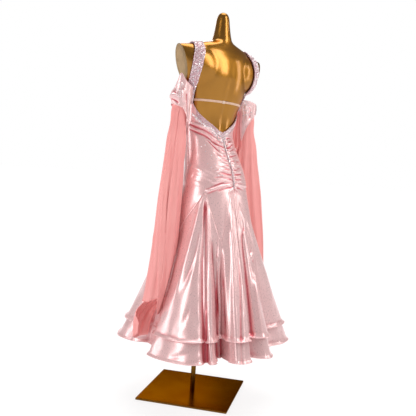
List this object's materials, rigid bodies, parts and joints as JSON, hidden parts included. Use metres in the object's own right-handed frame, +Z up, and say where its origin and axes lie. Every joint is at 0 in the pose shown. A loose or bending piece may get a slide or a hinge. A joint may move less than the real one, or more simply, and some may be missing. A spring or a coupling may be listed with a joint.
{
  "type": "ballroom dance dress on dress form",
  "caption": "Floor-length satin ballroom gown with open back, flared panelled skirt, chiffon hem and arm floats, worn on a limbless form that stands on a square plate",
  "frame": {"origin": "centre of the underside of the square base plate, on the floor, on the axis of the pole", "axes": "+X to the wearer's left, +Y to the back of the dress, +Z up; the dress faces -Y"},
  "size_m": [0.7371, 0.7552, 1.678],
  "materials": {
    "form_gold": "metallic gold lacquer on a fibreglass form, glossy",
    "base_gold": "dark gold lacquered steel plate and pole, mirror gloss",
    "pink_satin": "pale pink satin, soft sheen",
    "salmon_chiffon": "salmon pink chiffon, matt and slightly sheer",
    "beaded_pink": "pink satin closely set with silver beads and crystals",
    "nude_elastic": "flat nude elastic",
    "slider_metal": "nude coated slider"
  },
  "bodies": {
    "root": {"form_torso": "form_gold", "form_pole": "base_gold", "form_base": "base_gold", "front": "pink_satin", "back_left": "pink_satin", "back_right": "pink_satin", "godet_1": "pink_satin", "godet_2": "pink_satin", "godet_3": "pink_satin", "godet_4": "pink_satin", "godet_5": "pink_satin", "godet_6": "pink_satin", "godet_7": "pink_satin", "godet_8": "pink_satin", "hem_band_1": "pink_satin", "hem_band_2": "pink_satin", "hem_band_3": "pink_satin", "hem_band_4": "pink_satin", "centre_back_trim": "beaded_pink", "edge_band_left": "beaded_pink", "edge_band_right": "beaded_pink", "strap_left": "beaded_pink", "strap_right": "beaded_pink", "back_elastic": "nude_elastic", "elastic_slider": "slider_metal", "sleeve_left": "pink_satin", "sleeve_right": "pink_satin", "float_left_outer": "salmon_chiffon", "float_left_inner": "salmon_chiffon", "float_left_under": "salmon_chiffon", "float_right_outer": "salmon_chiffon", "float_right_inner": "salmon_chiffon", "float_right_under": "salmon_chiffon"}
  },
  "joints": []
}
